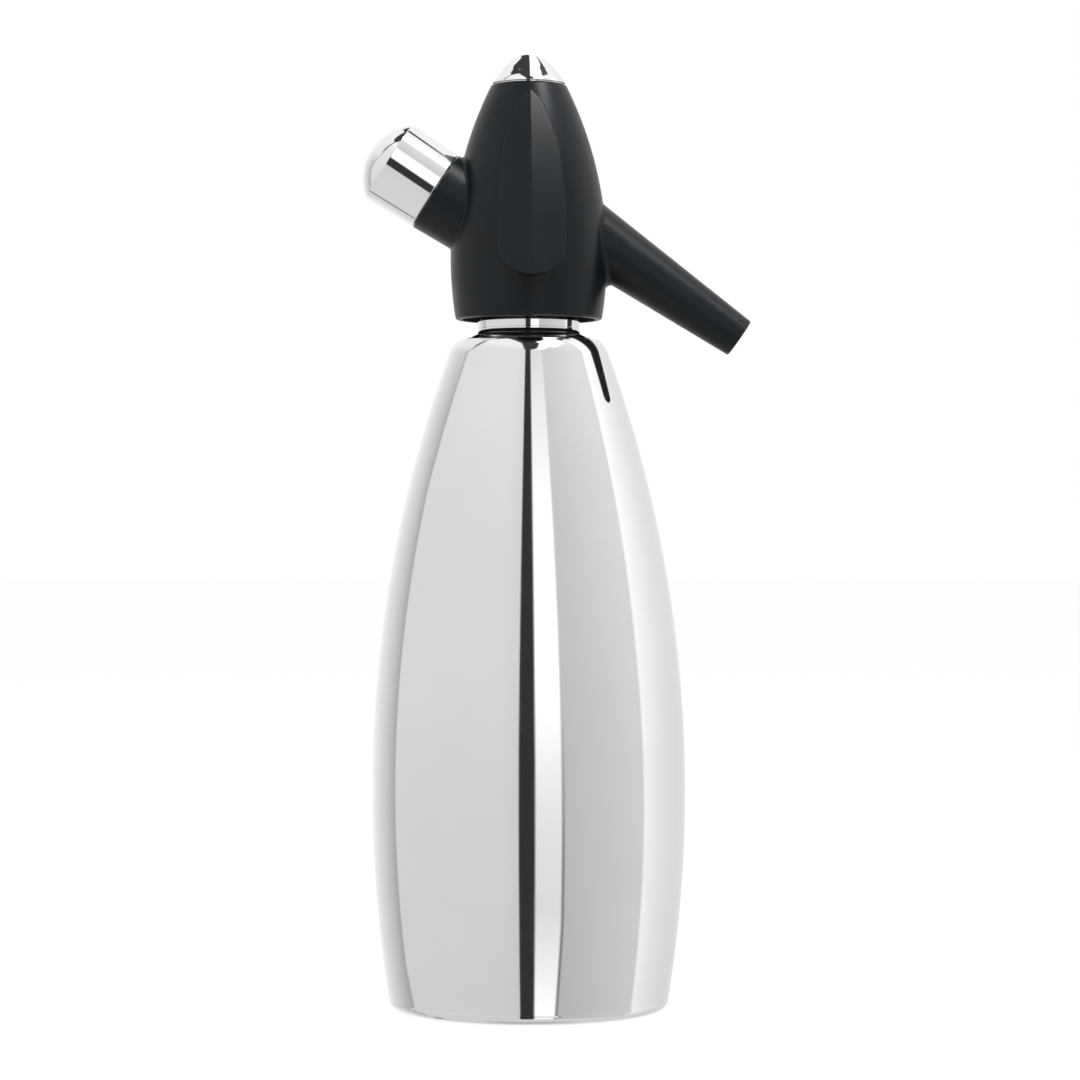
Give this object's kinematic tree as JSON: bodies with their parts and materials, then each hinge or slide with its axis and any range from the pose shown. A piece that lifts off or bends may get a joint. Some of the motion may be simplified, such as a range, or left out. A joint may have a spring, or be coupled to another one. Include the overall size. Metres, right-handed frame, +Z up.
{
  "type": "soda siphon",
  "caption": "Tall polished bottle with a screwed-on black head, leaf-shaped press lever, slanted spout and a domed charger holder.",
  "frame": {"origin": "centre of the standing circle, on the surface that the bottle stands on", "axes": "+Z up along the bottle, +X towards the spout, -X towards the charger holder, -Y towards the lever"},
  "size_m": [0.1242, 0.1002, 0.3046],
  "materials": {
    "polished_steel": "mirror-polished stainless steel",
    "black_plastic": "satin moulded",
    "chrome_plate": "bright chrome plate",
    "clear_plastic": "natural moulded",
    "white_plastic": "moulded",
    "grey_plastic": "moulded",
    "thread_metal": "turned",
    "plain_steel": "plain",
    "rubber": "matt"
  },
  "bodies": {
    "bottle": {"bottle_shell": "polished_steel", "base_plate": "polished_steel", "neck_ring": "polished_steel"},
    "measuring_tube": {"measuring_tube": "clear_plastic"},
    "riser": {"riser_tube": "white_plastic", "riser_seal": "rubber", "head_gasket": "rubber"},
    "head": {"head_housing": "black_plastic", "neck_nut": "black_plastic", "valve_core": "grey_plastic", "charger_socket": "thread_metal", "piercing_pin": "plain_steel", "charger_seal": "rubber", "gas_check_sleeve": "rubber", "gland_nut": "grey_plastic", "stem_oring": "rubber", "rear_plug": "grey_plastic", "spout_liner": "white_plastic", "lever_pin": "plain_steel", "pin_keeper": "plain_steel", "core_screw": "plain_steel", "screw_washer": "plain_steel", "decor_cap": "chrome_plate"},
    "lever": {"lever": "black_plastic"},
    "valve_stem": {"valve_stem": "plain_steel", "valve_seal": "rubber", "valve_spring": "plain_steel"},
    "gas_charger": {"gas_charger": "plain_steel"},
    "charger_cushion": {"charger_cushion": "rubber"},
    "charger_holder": {"holder_cap": "chrome_plate", "holder_sleeve": "thread_metal"}
  },
  "joints": [
    {"name": "head_lift", "type": "slide", "parent": "bottle", "child": "measuring_tube", "axis": [0, 0, 1], "range_m": [0, 0.24]},
    {"name": "head_rise", "type": "slide", "parent": "measuring_tube", "child": "riser", "axis": [0, 0, 1], "range_m": [0, 0.0061]},
    {"name": "head_unscrew", "type": "hinge", "parent": "riser", "child": "head", "pos_m": [0, 0, 0.226], "axis": [0, 0, 1], "range_deg": [0, 720]},
    {"name": "lever_press", "type": "hinge", "parent": "head", "child": "lever", "pos_m": [0, -0.0065, 0.2845], "axis": [1, 0, 0], "range_deg": [0, 4.5], "stiffness_Nm_per_rad": 2, "springref_deg": -6.88},
    {"name": "valve_stroke", "type": "slide", "parent": "head", "child": "valve_stem", "axis": [0, 1, 0], "range_m": [0, 0.00175], "deforming": ["valve_spring"]},
    {"name": "holder_draw", "type": "slide", "parent": "head", "child": "gas_charger", "axis": [-0.8368, 0, 0.5476], "range_m": [0, 0.055]},
    {"name": "holder_rise", "type": "slide", "parent": "gas_charger", "child": "charger_cushion", "axis": [-0.8368, 0, 0.5476], "range_m": [0, 0.0081]},
    {"name": "holder_unscrew", "type": "hinge", "parent": "charger_cushion", "child": "charger_holder", "pos_m": [0, 0, 0.2411], "axis": [-0.8368, 0, 0.5476], "range_deg": [0, 1440]}
  ],
  "couplings": [
    {"joint": "head_rise", "follows": "head_unscrew", "m_per_rad": 0.00047746},
    {"joint": "valve_stroke", "follows": "lever_press", "m_per_rad": 0.0217},
    {"joint": "holder_rise", "follows": "holder_unscrew", "m_per_rad": 0.00031831}
  ]
}
